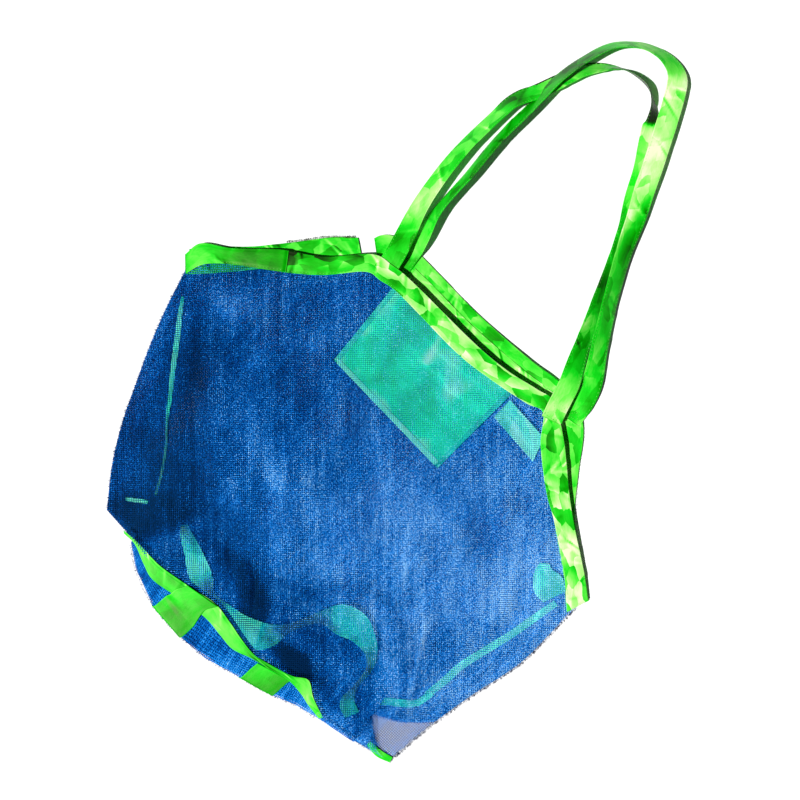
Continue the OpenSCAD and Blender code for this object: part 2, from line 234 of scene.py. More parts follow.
def make_object(name, verts, faces, uv=None, material=None, **facts):
    """An object from vertices in mm. uv has a pair for each vertex, in metres, and facts a number."""
    mesh = bpy.data.meshes.new(name)
    mesh.from_pydata((np.asarray(verts, float) * MM).tolist(), [], [list(map(int, f)) for f in faces])
    mesh.update()
    if uv is not None:
        layer = mesh.uv_layers.new(name="cloth")
        index = np.empty(len(mesh.loops), np.int32)
        mesh.loops.foreach_get("vertex_index", index)
        layer.data.foreach_set("uv", np.asarray(uv, np.float32)[index].ravel())
    for key, values in facts.items():
        layer = mesh.attributes.new(key, "FLOAT", "POINT")
        layer.data.foreach_set("value", np.asarray(values, np.float32).ravel())
    mesh.polygons.foreach_set("use_smooth", [True] * len(mesh.polygons))
    if material is not None:
        mesh.materials.append(material)
    return add_object(name, mesh)


def grid_object(name, grid, uv, material, keep=None, **facts):
    rows, cols = grid.shape[:2]
    faces = grid_faces(rows, cols)
    if keep is not None:
        faces = faces[keep.ravel()[faces].all(axis=1)]
    return make_object(name, grid.reshape(-1, 3), faces, uv.reshape(-1, 2), material, **facts)


def trim(obj, body, slot, *nodes):
    """Sets an object's body, and hides the nodes that it replaces. Its slot is not used."""
    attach(obj, body)
    if nodes:
        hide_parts(*nodes)
    return obj


def stitch(verts, faces, a, m, b, side, up, thick):
    """One stitch: a thread from a to b, thickest at m."""
    k = len(verts)
    verts += [a, m + side * thick / 2, m + up * thick * 0.7, m - side * thick / 2, b, m - up * 0.3]
    faces += [[k, k + 1, k + 2], [k, k + 2, k + 3], [k + 4, k + 2, k + 1], [k + 4, k + 3, k + 2],
              [k, k + 5, k + 1], [k, k + 3, k + 5], [k + 4, k + 1, k + 5], [k + 4, k + 5, k + 3]]


RIGHT = np.array([0.819, 0.573, 0.0])        # the camera's right and up, on the floor
ABOVE = np.array([-0.573, 0.819, 0.0])
LIGHT = -0.72 * RIGHT - 0.34 * ABOVE + 1.25 * UP
LOW_LIGHT = unit(LIGHT * (1, 1, 0))


def creases(s, t, length, seed, spacing, height):
    """How far a creased ribbon stands out of its plane: sharp folds that cross it at a slant.
    s is along it in mm, and t across it from -1 to 1."""
    rng = np.random.default_rng(seed)
    out = np.zeros(np.broadcast(s, t).shape)
    for _ in range(max(int(length / spacing), 1)):
        where, slant, steep = rng.uniform(0, length), rng.uniform(-14, 14), rng.uniform(1.8, 4)
        broad, flip = rng.uniform(8, 20), rng.choice([-1, 1])
        tall, side, wide = height * rng.uniform(-1, 1), rng.uniform(-1.1, 1.1), rng.uniform(0.7, 2.2)
        off = (s - where - slant * t) * flip
        near = np.where(off > 0, off / steep, -off / broad)
        out += tall * np.clip(1 - near, 0, 1) * np.clip(1 - np.abs(t - side) / wide, 0, 1)
    return out + 0.3 * height * value_noise(s / 17, t * 1.1 + 5, seed + 1)


class Strip:
    """A flat ribbon folded double: a thin closed band between a left and a right edge.
    tone is how pale its satin is painted at each row, from 0 to 1, as painted light and shade, and lean how
    much paler its right edge is painted, as painted light and shade across it.
    The last argument is how strongly painted light and shade break it up into flat facets."""

    def __init__(self, left, right, thick, tone=0.6, seed=0, height=1.3, spacing=9.0, cols=17,
                 floor=None, shine=1.3, edge=0.08, lean=0.0, crumple=0.12):
        self.left, self.right, self.thick, self.cols = left, right, thick, cols
        middle = (left + right) / 2
        self.s = np.concatenate([[0], np.cumsum(np.linalg.norm(np.diff(middle, axis=0), axis=1))])
        self.along = unit(np.gradient(middle, axis=0))
        self.across = unit(right - left)
        self.normal = unit(np.cross(self.across, self.along))
        self.width = np.linalg.norm(right - left, axis=1)
        self.tone = np.broadcast_to(np.asarray(tone, float), (len(left),))
        self.seed, self.height, self.spacing, self.floor = seed, height, spacing, floor
        self.lean = np.broadcast_to(np.asarray(lean, float), (len(left),))
        self.shine, self.edge, self.crumple = shine, edge, crumple

    def surface(self, rows, t, side, creased=True):
        """Points on the top (side 1) or underside (side -1), at row numbers and places across."""
        r = np.asarray(rows, float)
        pick = lambda a: np.stack([np.interp(r, np.arange(len(a)), a[:, c]) for c in range(3)], -1)
        s = np.interp(r, np.arange(len(self.s)), self.s)
        base = pick(self.left) * ((1 - t) / 2)[..., None] + pick(self.right) * ((1 + t) / 2)[..., None]
        lift = creases(s, t, self.s[-1], self.seed, self.spacing, self.height) if creased else 0 * t
        half = self.thick / 2 * np.sqrt(np.clip(1 - np.abs(t) ** 5, 0, 1)) + 0.12
        groove = 0.25 * np.exp(-((np.abs(t) - RIBBON_SEAM) / 0.05) ** 2)
        out = base + pick(self.normal) * (lift + side * (half - groove))[..., None]
        if self.floor is not None:
            out[..., 2] = np.maximum(out[..., 2], self.floor)
        return out

    def build(self, name, material):
        n, m = len(self.s), self.cols
        t = np.sin(np.linspace(-1, 1, m) * math.pi / 2)
        rows = np.arange(n)[:, None] + 0 * t[None, :]
        tt = 0 * rows + t[None, :]
        top, low = self.surface(rows, tt, 1), self.surface(rows, tt, -1)[:, ::-1]
        lift = creases(self.s[:, None] + 0 * tt, tt, self.s[-1], self.seed, self.spacing, self.height)
        across_mm = t * float(self.width.mean()) / 2
        step = max(float(self.s[-1]) / (n - 1), 1e-3)
        slope = (np.gradient(lift, step, axis=0)[..., None] * -self.along[:, None]
                 + np.gradient(lift, across_mm, axis=1)[..., None] * -self.across[:, None])
        # Painted light and shade: paler where a crease faces the light and darker where it faces away, paler
        # along both edges as a painted highlight, and paler towards one edge by lean.
        tone = self.tone[:, None] + self.shine * (slope @ LOW_LIGHT) + self.edge * (np.abs(tt) > 0.93)
        tone = tone + self.lean[:, None] * tt / 2
        tone = np.clip(tone, 0, 1)
        ring = np.concatenate([top, low], axis=1)
        u = np.concatenate([tt, tt[:, ::-1]], axis=1) * self.width[:, None] / 2 * MM
        v = np.repeat(self.s[:, None], 2 * m, axis=1) * MM + 0.37 * self.seed
        faces = grid_faces(n, 2 * m, closed=True).tolist()
        faces += [list(range(2 * m))[::-1], list(range((n - 1) * 2 * m, n * 2 * m))]
        # The underside is painted 8% darker, as painted shade.
        return make_object(name, ring.reshape(-1, 3), faces, np.stack([u, v], -1).reshape(-1, 2), material,
                           tone=np.concatenate([tone, tone[:, ::-1] * 0.92], axis=1),
                           crumple=np.full(ring.shape[:2], float(self.crumple)))

    def stitches(self, name, material, places, pitch=4.2, long=2.9, thick=0.5, sides=(1,)):
        """Rows of thread stitches along the ribbon, at places across it."""
        verts, faces = [], []
        for side in sides:
            for t in places:
                for a in np.arange(2.0, self.s[-1] - 4.0, pitch):
                    rows = np.interp([a, a + long / 2, a + long], self.s, np.arange(len(self.s)))
                    p = self.surface(rows, np.full(3, float(t)), side)
                    i = int(rows[1])
                    stitch(verts, faces, *p, self.across[i], self.normal[i] * side, thick)
        return make_object(name, verts, faces, None, material)


def ribbon(path, width, thick, step=1.6, **more):
    """A Strip along a route. Its points hold x, y, z, the turn of the inner edge, tone and maybe lean."""
    rows = even(spline([p if len(p) == 6 else (*p, 0) for p in path], 30 * len(path)), step)
    along = unit(np.gradient(rows[:, :3], axis=0))
    side = unit(np.cross(along, UP))
    up = np.cross(side, along)
    turn = np.radians(rows[:, 3:4])
    across = np.cos(turn) * side + np.sin(turn) * up
    return Strip(rows[:, :3] - across * width / 2, rows[:, :3] + across * width / 2, thick,
                 tone=rows[:, 4], lean=rows[:, 5], **more)


def tape(path, z, thick=0.5, step=1.6, **more):
    """A Strip that lies flat at height z. Its points hold x, y, width and tone."""
    rows = spline(path, 30 * len(path))
    rows = even(np.stack([rows[:, 0], rows[:, 1], 0 * rows[:, 0] + z, rows[:, 2], rows[:, 3]], -1), step)
    side = unit(np.cross(unit(np.gradient(rows[:, :3], axis=0)), UP))
    half = side * rows[:, 3:4] / 2
    return Strip(rows[:, :3] - half, rows[:, :3] + half, thick, tone=rows[:, 4], **more)


def edge_strip(outer, inner, thick, tone, step=1.6, cut=(0, 1), shift=None, **more):
    """A Strip between two outlines that run side by side, or the share of it between the two cuts.
    shift gives how far its rows are raised, from their share along it."""
    k = 40 * len(outer)
    both = np.hstack([spline(outer, k), spline(inner, k), spline([(v,) for v in tone], k)])
    both = both[int(cut[0] * k):int(cut[1] * k) + 1]
    rows = even(np.hstack([(both[:, :3] + both[:, 3:6]) / 2, both]), step)
    if shift is not None:
        rise = shift(np.linspace(0, 1, len(rows)))
        rows[:, 5] += rise
        rows[:, 8] += rise
    return Strip(rows[:, 3:6], rows[:, 6:9], thick, tone=rows[:, 9], **more)


def fringe(line, z, count, long, seed, outward=1, lean=0.7, thick=0.4):
    """Loose thread ends along a cut edge. outward is 1 where they point to the line's left."""
    rng = np.random.default_rng(seed)
    verts, faces = [], []
    path = even(np.hstack([np.array(spline([p[:2] for p in line], 200)), np.full((201, 1), float(z))]), 1.0)
    along = unit(np.gradient(path, axis=0))
    for _ in range(count):
        i = rng.integers(1, len(path) - 1)
        d = along[i]
        out = np.array([-d[1], d[0], 0]) * outward
        go = unit(out + d * rng.uniform(-lean, lean))
        side = np.array([-go[1], go[0], 0])
        reach = long * rng.uniform(0.3, 1.0)
        bend = side * rng.uniform(-0.35, 0.35) * reach
        a = path[i] - go * 1.5
        m = path[i] + go * reach * 0.5 + bend * 0.5 + UP * rng.uniform(0, 0.6)
        stitch(verts, faces, a, m, path[i] + go * reach + bend, side, UP, thick)
    return verts, faces


# ---------------------------------------------------------------- materials


class Nodes:
    """A short way to write a material's node tree."""

    def __init__(self, name):
        self.material = bpy.data.materials.new(name)
        self.material.use_nodes = True
        self.tree = self.material.node_tree
        self.tree.nodes.clear()
        self.output = self.add("ShaderNodeOutputMaterial")

    def add(self, kind, **values):
        node = self.tree.nodes.new(kind)
        for key, value in values.items():
            setattr(node, key, value)
        return node

    def link(self, source, target):
        self.tree.links.new(source, target)

    def fill(self, node, values):
        """Sets a node's first inputs to numbers, or links them to sockets."""
        for socket, value in zip(node.inputs, values):
            if isinstance(value, (int, float, tuple)):
                socket.default_value = value
            else:
                self.link(value, socket)
        return node

    def math(self, operation, *values, clamp=False):
        return self.fill(self.add("ShaderNodeMath", operation=operation, use_clamp=clamp), values).outputs[0]

    def vector(self, operation, *values):
        return self.fill(self.add("ShaderNodeVectorMath", operation=operation), values)

    def around(self, value, reach):
        """A value from 0 to 1 as one around zero."""
        return self.math("MULTIPLY", self.math("SUBTRACT", value, 0.5), reach)

    def attribute(self, name):
        return self.add("ShaderNodeAttribute", attribute_name=name).outputs["Fac"]

    def noise(self, vector, scale, detail=3.0, rough=0.5):
        node = self.add("ShaderNodeTexNoise")
        node.inputs["Scale"].default_value = scale
        node.inputs["Detail"].default_value = detail
        node.inputs["Roughness"].default_value = rough
        self.link(vector, node.inputs["Vector"])
        return node.outputs["Fac"]

    def facets(self, vector):
        """Painted light and shade of flat patches with crisp edges, some much darker than the rest, about -1
        to 0.3.
        """
        sway = self.add("ShaderNodeTexNoise")
        sway.inputs["Scale"].default_value = 1.3
        self.link(vector, sway.inputs["Vector"])
        bent = self.vector("MULTIPLY_ADD", sway.outputs["Color"], (0.4, 0.4, 0), vector).outputs[0]
        cell = self.add("ShaderNodeTexVoronoi", voronoi_dimensions="2D")
        cell.inputs["Scale"].default_value = 1.0
        self.link(bent, cell.inputs["Vector"])
        off = self.vector("SUBTRACT", bent, cell.outputs["Position"]).outputs[0]
        way = self.vector("SUBTRACT", cell.outputs["Color"], (0.5, 0.5, 0.5)).outputs[0]
        slope = self.vector("DOT_PRODUCT", off, way).outputs["Value"]
        split = self.add("ShaderNodeSeparateXYZ")
        self.link(way, split.inputs[0])
        dark = self.math("MULTIPLY", self.math("SUBTRACT", split.outputs[2], 0.2), 12.0, clamp=True)
        deep = self.math("MULTIPLY", dark, self.math("ADD", 0.75, self.math("MULTIPLY", slope, 2.0)))
        return self.math("SUBTRACT", self.math("MULTIPLY", slope, 0.9), deep)

    def mapping(self, vector, scale=(1, 1, 1), rotation=0.0):
        node = self.add("ShaderNodeMapping")
        node.inputs["Scale"].default_value = scale
        node.inputs["Rotation"].default_value = (0, 0, rotation)
        self.link(vector, node.inputs["Vector"])
        return node.outputs[0]

    def ramp(self, factor, stops):
        node = self.add("ShaderNodeValToRGB")
        ramp = node.color_ramp
        while len(ramp.elements) < len(stops):
            ramp.elements.new(0.5)
        for element, (place, colour) in zip(ramp.elements, stops):
            element.position = place
            element.color = (*colour, 1)
        self.link(factor, node.inputs["Fac"])
        return node.outputs["Color"]

    def bump(self, height, strength, distance):
        node = self.add("ShaderNodeBump")
        node.inputs["Strength"].default_value = strength
        node.inputs["Distance"].default_value = distance
        self.link(height, node.inputs["Height"])
        return node.outputs["Normal"]


def mesh_cloth(name, cover, painted_shade=0.0, turn=0.0, pitch=0.0024, grain=2.0):
    """Open mesh: a square grid of threads with nothing between them, which bunch into streaks.
    The cloth's tone attribute is how pale it is there, mostly painted light and shade, and open is how much
    wider its holes are. Its third argument darkens the whole cloth, as painted shade."""
    n = Nodes(name)
    uv = n.add("ShaderNodeUVMap", uv_map="cloth").outputs[0]
    cloth = n.mapping(uv, rotation=turn)
    sway = n.noise(cloth, 24.0, 2.0)
    split = n.add("ShaderNodeSeparateXYZ")
    n.link(cloth, split.inputs[0])
    streak = n.noise(n.mapping(cloth, (150, 9, 1)), 1.0, 3.0, 0.6)
    patch = n.noise(cloth, 17.0, 4.0, 0.6)
    speck = n.noise(cloth, 620.0, 1.0)
    masks = []
    for axis in (0, 1):
        place = n.math("ADD", n.math("DIVIDE", split.outputs[axis], pitch), n.math("MULTIPLY", sway, 1.3))
        off = n.math("ABSOLUTE", n.math("SUBTRACT", n.math("FRACT", place), 0.5))
        wide = n.math("ADD", cover - 0.05, n.math("MULTIPLY", streak if axis == 0 else patch, 0.1))
        wide = n.math("SUBTRACT", wide, n.math("MULTIPLY", n.attribute("open"), 0.24))
        masks.append(n.math("MULTIPLY", n.math("SUBTRACT", wide, off), 12.0, clamp=True))
    thread = n.math("MAXIMUM", masks[0], masks[1])
    tone = n.math("ADD", n.attribute("tone"), n.around(streak, 0.75))
    tone = n.math("ADD", tone, n.around(patch, 0.7))
    tone = n.math("ADD", tone, n.around(speck, grain))
    colour = n.ramp(n.math("SUBTRACT", tone, painted_shade, clamp=True),
                    [(0.0, (0.0, 0.006, 0.04)), (0.3, (0.0, 0.035, 0.22)), (0.5, (0.0, 0.12, 0.50)),
                     (0.7, (0.02, 0.29, 0.82)), (1.0, (0.36, 0.68, 1.0))])
    shader = n.add("ShaderNodeBsdfPrincipled")
    shader.inputs["Roughness"].default_value = 0.5
    shader.inputs["Specular IOR Level"].default_value = 0.25
    shader.inputs["Specular Tint"].default_value = (0.02, 0.4, 1.0, 1)
    n.link(colour, shader.inputs["Base Color"])
    n.link(n.bump(n.math("ADD", masks[0], n.math("MULTIPLY", masks[1], 0.8)), 0.3, 0.0003),
           shader.inputs["Normal"])
    clear = n.add("ShaderNodeBsdfTransparent")
    mix = n.add("ShaderNodeMixShader")
    n.link(thread, mix.inputs[0])
    n.link(clear.outputs[0], mix.inputs[1])
    n.link(shader.outputs[0], mix.inputs[2])
    n.link(mix.outputs[0], n.output.inputs["Surface"])
    return n.material


def satin(name, stops, rough=0.38):
    """Crumpled satin ribbon: fine ribs and soft creases as bumps, and painted light and shade that follow the
    tone attribute and break it into flat facets.
    """
    n = Nodes(name)
    uv = n.add("ShaderNodeUVMap", uv_map="cloth").outputs[0]
    broad = n.noise(n.mapping(uv, (38, 20, 1)), 1.0, 1.0, 0.5)
    fine = n.noise(n.mapping(uv, (500, 160, 1)), 1.0, 2.0)
    tone = n.math("ADD", n.attribute("tone"), n.around(broad, 0.35))
    tone = n.math("ADD", tone, n.around(fine, 0.12))
    # Painted light and shade of flat facets, as strong as the ribbon's facet attribute asks.
    facets = n.facets(n.mapping(uv, (95, 48, 1), 0.6))
    tone = n.math("ADD", tone, n.math("MULTIPLY", facets, n.attribute("crumple")), clamp=True)
    shader = n.add("ShaderNodeBsdfPrincipled")
    n.link(n.ramp(tone, stops), shader.inputs["Base Color"])
    n.link(n.math("ADD", rough, n.math("MULTIPLY", fine, 0.1)), shader.inputs["Roughness"])
    shader.inputs["Specular IOR Level"].default_value = 0.25
    shader.inputs["Specular Tint"].default_value = (0.7, 1.0, 0.4, 1)
    ribs = n.add("ShaderNodeTexWave", bands_direction="X")
    ribs.inputs["Scale"].default_value = 420
    ribs.inputs["Distortion"].default_value = 1.5
    n.link(uv, ribs.inputs["Vector"])
    creased = n.noise(n.mapping(uv, (120, 70, 1)), 1.0, 3.0, 0.55)
    height = n.math("ADD", n.math("MULTIPLY", ribs.outputs["Fac"], 0.06), creased)
    n.link(n.bump(height, 0.3, 0.0009), shader.inputs["Normal"])
    n.link(shader.outputs[0], n.output.inputs["Surface"])
    return n.material


def plain_thread(name, colour):
    """Sewing thread, its plies shown by fine bumps."""
    n = Nodes(name)
    spots = n.noise(n.add("ShaderNodeTexCoord").outputs["Object"], 900.0, 2.0)
    shader = n.add("ShaderNodeBsdfPrincipled")
    n.link(n.ramp(spots, [(0.3, [c * 0.6 for c in colour]), (0.7, colour)]), shader.inputs["Base Color"])
    shader.inputs["Roughness"].default_value = 0.55
    n.link(n.bump(spots, 0.4, 0.0002), shader.inputs["Normal"])
    n.link(shader.outputs[0], n.output.inputs["Surface"])
    return n.material


def paper_floor():
    """A matt white floor."""
    n = Nodes("floor_white")
    shader = n.add("ShaderNodeBsdfPrincipled")
    shader.inputs["Base Color"].default_value = (0.93, 0.93, 0.93, 1)
    shader.inputs["Roughness"].default_value = 0.9
    n.link(shader.outputs[0], n.output.inputs["Surface"])
    return n.material


NET_FRONT = mesh_cloth("mesh_front", 0.155)
# The far panel's net is painted darker all over, as painted shade.
NET_BACK = mesh_cloth("mesh_back", 0.40, painted_shade=0.14, turn=0.12)
NET_BASE = mesh_cloth("mesh_base", 0.30, turn=0.05, grain=1.0)
GREENS = [(0.0, (0.0, 0.012, 0.0)), (0.16, (0.0, 0.10, 0.0)), (0.36, (0.0, 0.36, 0.0)),
          (0.55, (0.004, 0.64, 0.01)), (0.72, (0.14, 0.80, 0.07)), (0.88, (0.46, 0.88, 0.25)),
          (1.0, (0.76, 0.92, 0.52))]
SATIN = satin("green_satin", GREENS)
VEILED = satin("green_satin_inside", [(0.0, (0.0, 0.04, 0.05)), (0.3, (0.0, 0.22, 0.18)),
                                      (0.55, (0.0, 0.62, 0.42)), (0.8, (0.12, 0.86, 0.62)),
                                      (1.0, (0.3, 0.97, 0.76))])
POCKET_CLOTH = satin("pocket_cloth", [(0.0, (0.0, 0.35, 0.12)), (0.5, (0.0, 0.80, 0.42)),
                                      (1.0, (0.35, 0.95, 0.70))], 0.5)
THREAD = plain_thread("sewing_thread", (0.25, 0.85, 0.15))
NET_THREAD = plain_thread("mesh_thread", (0.01, 0.03, 0.12))
DARK_THREAD = plain_thread("dark_thread", (0.05, 0.06, 0.02))

# ---------------------------------------------------------------- camera, light and floor

VIEW_WIDTH, VIEW_MIDDLE = 0.960, (-0.0065, -0.0706)        # what the camera takes in, in metres
FLOOR = 4000.0                                             # half its side, in mm


def stage():
    """The camera straight above, the bag turned as it lies, a white floor, and hard light from the left."""
    data = bpy.data.cameras.new("camera")
    data.lens, data.sensor_width = 50.0, 36.0
    camera = add_object("camera", data)
    height = VIEW_WIDTH * data.lens / data.sensor_width
    camera.matrix_world = Matrix(((RIGHT[0], ABOVE[0], 0, VIEW_MIDDLE[0]),
                                  (RIGHT[1], ABOVE[1], 0, VIEW_MIDDLE[1]), (0, 0, 1, height), (0, 0, 0, 1)))
    bpy.context.scene.camera = camera

    floor = make_object("floor", [(FLOOR * x, FLOOR * y, 0) for x, y in ((-1, -1), (1, -1), (1, 1), (-1, 1))],
                        [(0, 1, 2, 3)], None, paper_floor())

    sun = bpy.data.lights.new("key", "SUN")
    sun.energy, sun.angle = 4.7, math.radians(2)
    key = add_object("key", sun)
    key.rotation_euler = Vector(LIGHT).to_track_quat("Z", "Y").to_euler()

    world = bpy.data.worlds.new("studio")
    world.use_nodes = True
    world.node_tree.nodes["Background"].inputs[0].default_value = (0.95, 0.98, 1.0, 1)
    world.node_tree.nodes["Background"].inputs[1].default_value = 0.055
    bpy.context.scene.world = world
    bpy.context.scene.view_settings.view_transform = "Standard"


stage()

# ---------------------------------------------------------------- mesh panels

CROWN = 20.0
SIDE_Z = 2.4
front_top = [(x, y, z + RIM_Z - 1.8) for x, y, z in between(FRONT_OUTER, FRONT_INNER, 0.5)]
front_bottom = [(x, y, z) for (x, y), z in zip(BASE_EDGE, [2.6, 14.4] + [14.8] * 9 + [14.4, 2.8])]
front_left = [(x, y, front_top[0][2] if k == 0 else SIDE_Z) for k, (x, y) in enumerate(LEFT_SIDE)]
front_right = [(x, y, front_top[-1][2] if k == 0 else SIDE_Z) for k, (x, y) in enumerate(RIGHT_SIDE)]
# Where only the far panel covers the floor, at the lower right corner.
BARE_CORNER = [(181, -399), (199, -417), (214, -429), (240, -440), (262, -372), (250, -362), (220, -384)]
# Paler and darker areas of the near panel, painted light and shade on its broad swells: x, y, reach along and
# across, its slant, and the amount.
AREAS = [
    (-185, -295, 75, 55, -30, -0.24), (-150, -60, 100, 40, 25, 0.08), (-205, -110, 14, 34, 12, -0.1),
    (-225, -185, 22, 52, 25, -0.16), (-245, -95, 35, 30, 0, 0.12),
    (-105, -215, 55, 16, -30, 0.17), (-125, -110, 60, 50, 0, -0.08), (-290, -170, 14, 80, 10, 0.2),
    (85, -190, 70, 70, 0, 0.1), (235, -165, 30, 70, -25, 0.15), (160, -150, 25, 30, 0, -0.12),
    (-30, -350, 62, 26, -38, -0.24), (60, -398, 55, 12, -5, -0.42), (45, -352, 50, 16, 0, -0.08),
    (190, -398, 40, 22, 0, -0.2), (205, -320, 16, 42, 20, -0.12), (20, -285, 70, 26, 0, 0.06),
    (160, -270, 18, 13, 30, 0.08), (158, -333, 18, 12, -20, 0.08), (-190, -372, 32, 20, -20, -0.15)]
# Gathered cloth by the base, darker where more layers lie over each other and with painted shade in its
# folds: outline, soft edge, amount.
DEEP = [
    ([(-87, -335), (-72, -330), (-42, -333), (-12, -343), (6, -354), (18, -375), (0, -398), (-12, -396),
      (-27, -377), (-49, -364), (-72, -351)], 10, -0.2),
    ([(-27, -356), (-20, -344), (1, -354), (16, -377), (1, -395), (-10, -394)], 4, -0.16),
    ([(-225, -372), (-204, -352), (-187, -335), (-163, -312), (-128, -319), (-134, -350), (-160, -374),
      (-167, -388)], 12, -0.25),
    ([(-172, -326), (-141, -322), (-99, -331), (-84, -339), (-95, -355), (-125, -338), (-139, -352)],
     7, -0.12),
    ([(45, -390), (58, -385), (80, -383), (96, -402), (104, -414), (92, -410), (60, -412)], 4, -0.3),
    ([(19, -369), (50, -350), (71, -338), (98, -335), (133, -336), (151, -349), (168, -378), (166, -408),
      (136, -420), (94, -404), (46, -404), (36, -384)], 9, -0.2)]
# Folds of the near panel: their line, reach, tone (painted light where above zero, painted shade where
# below), and how far they stand up in mm.
FOLDS = [
    ([(-213, -25), (-190, -60), (-160, -105)], 3, -0.16, 1.0),
    ([(70, -165), (97, -205), (120, -245)], 5, 0.13, 0.8),
    ([(190, -110), (215, -150), (240, -200)], 7, 0.12, 0.8),
    ([(168, -268), (185, -305), (203, -345)], 2.5, 0.18, 1.2),
    ([(19, -354), (38, -322), (62, -294), (93, -276), (125, -280), (152, -298), (174, -319),
      (194, -342)], 11, -0.13, 2),
    ([(62, -352), (90, -345), (115, -360), (130, -385), (135, -405)], 3, 0.09, 2),
    ([(192, -262), (192, -292)], 13, -0.1, 0),
    ([(-10, -332), (20, -320), (60, -318)], 5, -0.12, -1.5),
    ([(-118, -262), (-103, -276), (-88, -292)], 2, 0.28, 1),
    ([(185, -225), (215, -236), (242, -228)], 2.5, -0.12, -1),
    ([(-75, -225), (-50, -262), (-25, -300), (5, -330)], 9, 0.1, 1),
    ([(-265, -115), (-228, -175), (-195, -235)], 9, -0.14, -1),
    ([(-88, -326), (-52, -360), (-18, -392)], 3, 0.1, 2),
    ([(16, -330), (21, -360), (12, -390)], 3, 0.12, 2.5),
    ([(-40, -330), (-20, -350), (-5, -380)], 3, -0.08, -1.5)]


def coons(top, bottom, left, right, u, v):
    """A surface inside four edges; u runs along the mouth and v from the mouth to the base."""
    t, b = at(top, u), at(bottom, u)
    l, r = at(left, v), at(right, v)
    tl, tr, bl, br = (np.array(p) for p in (top[0], top[-1], bottom[0], bottom[-1]))
    u, v = u[..., None], v[..., None]
    return ((1 - v) * t + v * b + (1 - u) * l + u * r
            - (1 - u) * (1 - v) * tl - u * (1 - v) * tr - (1 - u) * v * bl - u * v * br)


def panel_tone(x, y):
    """How pale the mesh is painted at each place, mostly painted light and shade of its swells and folds, and
    how far its folds lift it.
    """
    tone = 0.5 + 0.0007 * x
    for cx, cy, a, b, slant, amount in AREAS:
        c, s = math.cos(math.radians(slant)), math.sin(math.radians(slant))
        u, v = (x - cx) * c + (y - cy) * s, -(x - cx) * s + (y - cy) * c
        tone = tone + amount * np.exp(-(u / a) ** 2 - (v / b) ** 2)
    for outline, edge, amount in DEEP:
        away = distance(x, y, outline + outline[:1]) * np.where(inside(x, y, outline), 1, -1)
        tone = tone + amount * smooth(away, -edge, edge)
    lift = 0 * x
    for line, reach, amount, tall in FOLDS:
        near = np.exp(-(distance(x, y, line) / reach) ** 2)
        tone = tone + amount * near
        lift = lift + tall * near
    return tone, lift


def front_panel():
    """The near panel, domed between its four edges. Its net is opener over the pocket and the tab."""
    u, v = np.meshgrid(np.linspace(0, 1, 301), np.linspace(1, 0, 221), indexing="ij")
    p = coons(front_top, front_bottom, front_left, front_right, u, v)
    swell = np.sin(math.pi * u) ** 0.7 * np.sin(math.pi * v) ** 1.6
    p[..., 2] += CROWN * swell
    x, y = p[..., 0], p[..., 1]
    gx, gy = x * RIGHT[0] + y * RIGHT[1], x * ABOVE[0] + y * ABOVE[1]
    soft = value_noise(gx / 60, gy / 110, 3) * 4 + value_noise(gx / 26 + 7, gy / 70, 4) * 1.8
    soft += value_noise(gx / 12, gy / 40 + 3, 5) * 0.7
    tone, lift = panel_tone(x, y)
    p[..., 2] += (soft + lift) * np.clip(swell * 2.2, 0, 1)
    # Painted light and shade: the tone below is darker where the panel climbs to the right along its mouth
    # and paler where it falls, and a little darker over the pocket and the tab.
    slope = (np.gradient(p[..., 2], axis=0) / np.maximum(np.hypot(*np.gradient(p[..., :2], axis=0).T).T, 0.3)
             * 0.4)
    over = inside(x, y, [c[:2] for c in POCKET]) | inside(x, y, [c[:2] for c in TAB])
    uv = np.stack([gx, gy], -1) * MM
    obj = grid_object("near_mesh_panel", p, uv, NET_FRONT, keep=~inside(x, y, BARE_CORNER),
                      tone=tone - slope * 0.3 - 0.08 * over, open=0.14 * over)
    trim(obj, "bag", "mesh", "front_panel")


def back_panel():
    """The far panel, flat on the floor. Its net is wide open where the near panel doesn't cover it."""
    top = [(x, y, 1.0) for x, y in between(BACK_OUTER, BACK_INNER, 0.7)]
    flat = lambda pts: [(x, y, 1.0) for x, y in pts]
    left, right = flat(LEFT_SIDE), flat(RIGHT_SIDE)
    left[0], right[0] = top[0], top[-1]
    u, v = np.meshgrid(np.linspace(0, 1, 201), np.linspace(1, 0, 151), indexing="ij")
    p = coons(top, flat(BASE_OUTER), left, right, u, v)
    x, y = p[..., 0], p[..., 1]
    p[..., 2] += 0.35 * value_noise(x / 30, y / 45, 12)
    bare = inside(x, y, BARE_CORNER)
    # It takes the near panel's painted light and shade, except in the bare corner.
    obj = grid_object("far_mesh_panel", p, np.stack([x, y], -1) * MM, NET_BACK,
                      tone=panel_tone(x, y)[0] * (~bare) + 0.5 * bare, open=0.8 * bare)
    trim(obj, "bag", "mesh", "back_panel")


LIP_T, BASE_FOLD = 13.0, 137.0


def base_profile(x):
    """The folded base at one place x: three layers that turn at the outer and the inner fold."""
    edge = float(np.interp(x, *zip(*BASE_EDGE)))
    outer = float(np.interp(x, *zip(*BASE_OUTER)))
    d = max(edge - outer, 3.5)
    profile = [(d, LIP_T), (d * 0.55 + 1.2, 12.2), (1.8, 11), (0.4, 9.2), (1.8, 7.6), (12, 7.2),
               (60, 7.4), (BASE_FOLD - 8, 4.6), (BASE_FOLD, 3.6), (BASE_FOLD - 8, 2.8), (60, 3.0), (4, 2.6)]
    return [(x, outer + a, b) for a, b in profile]


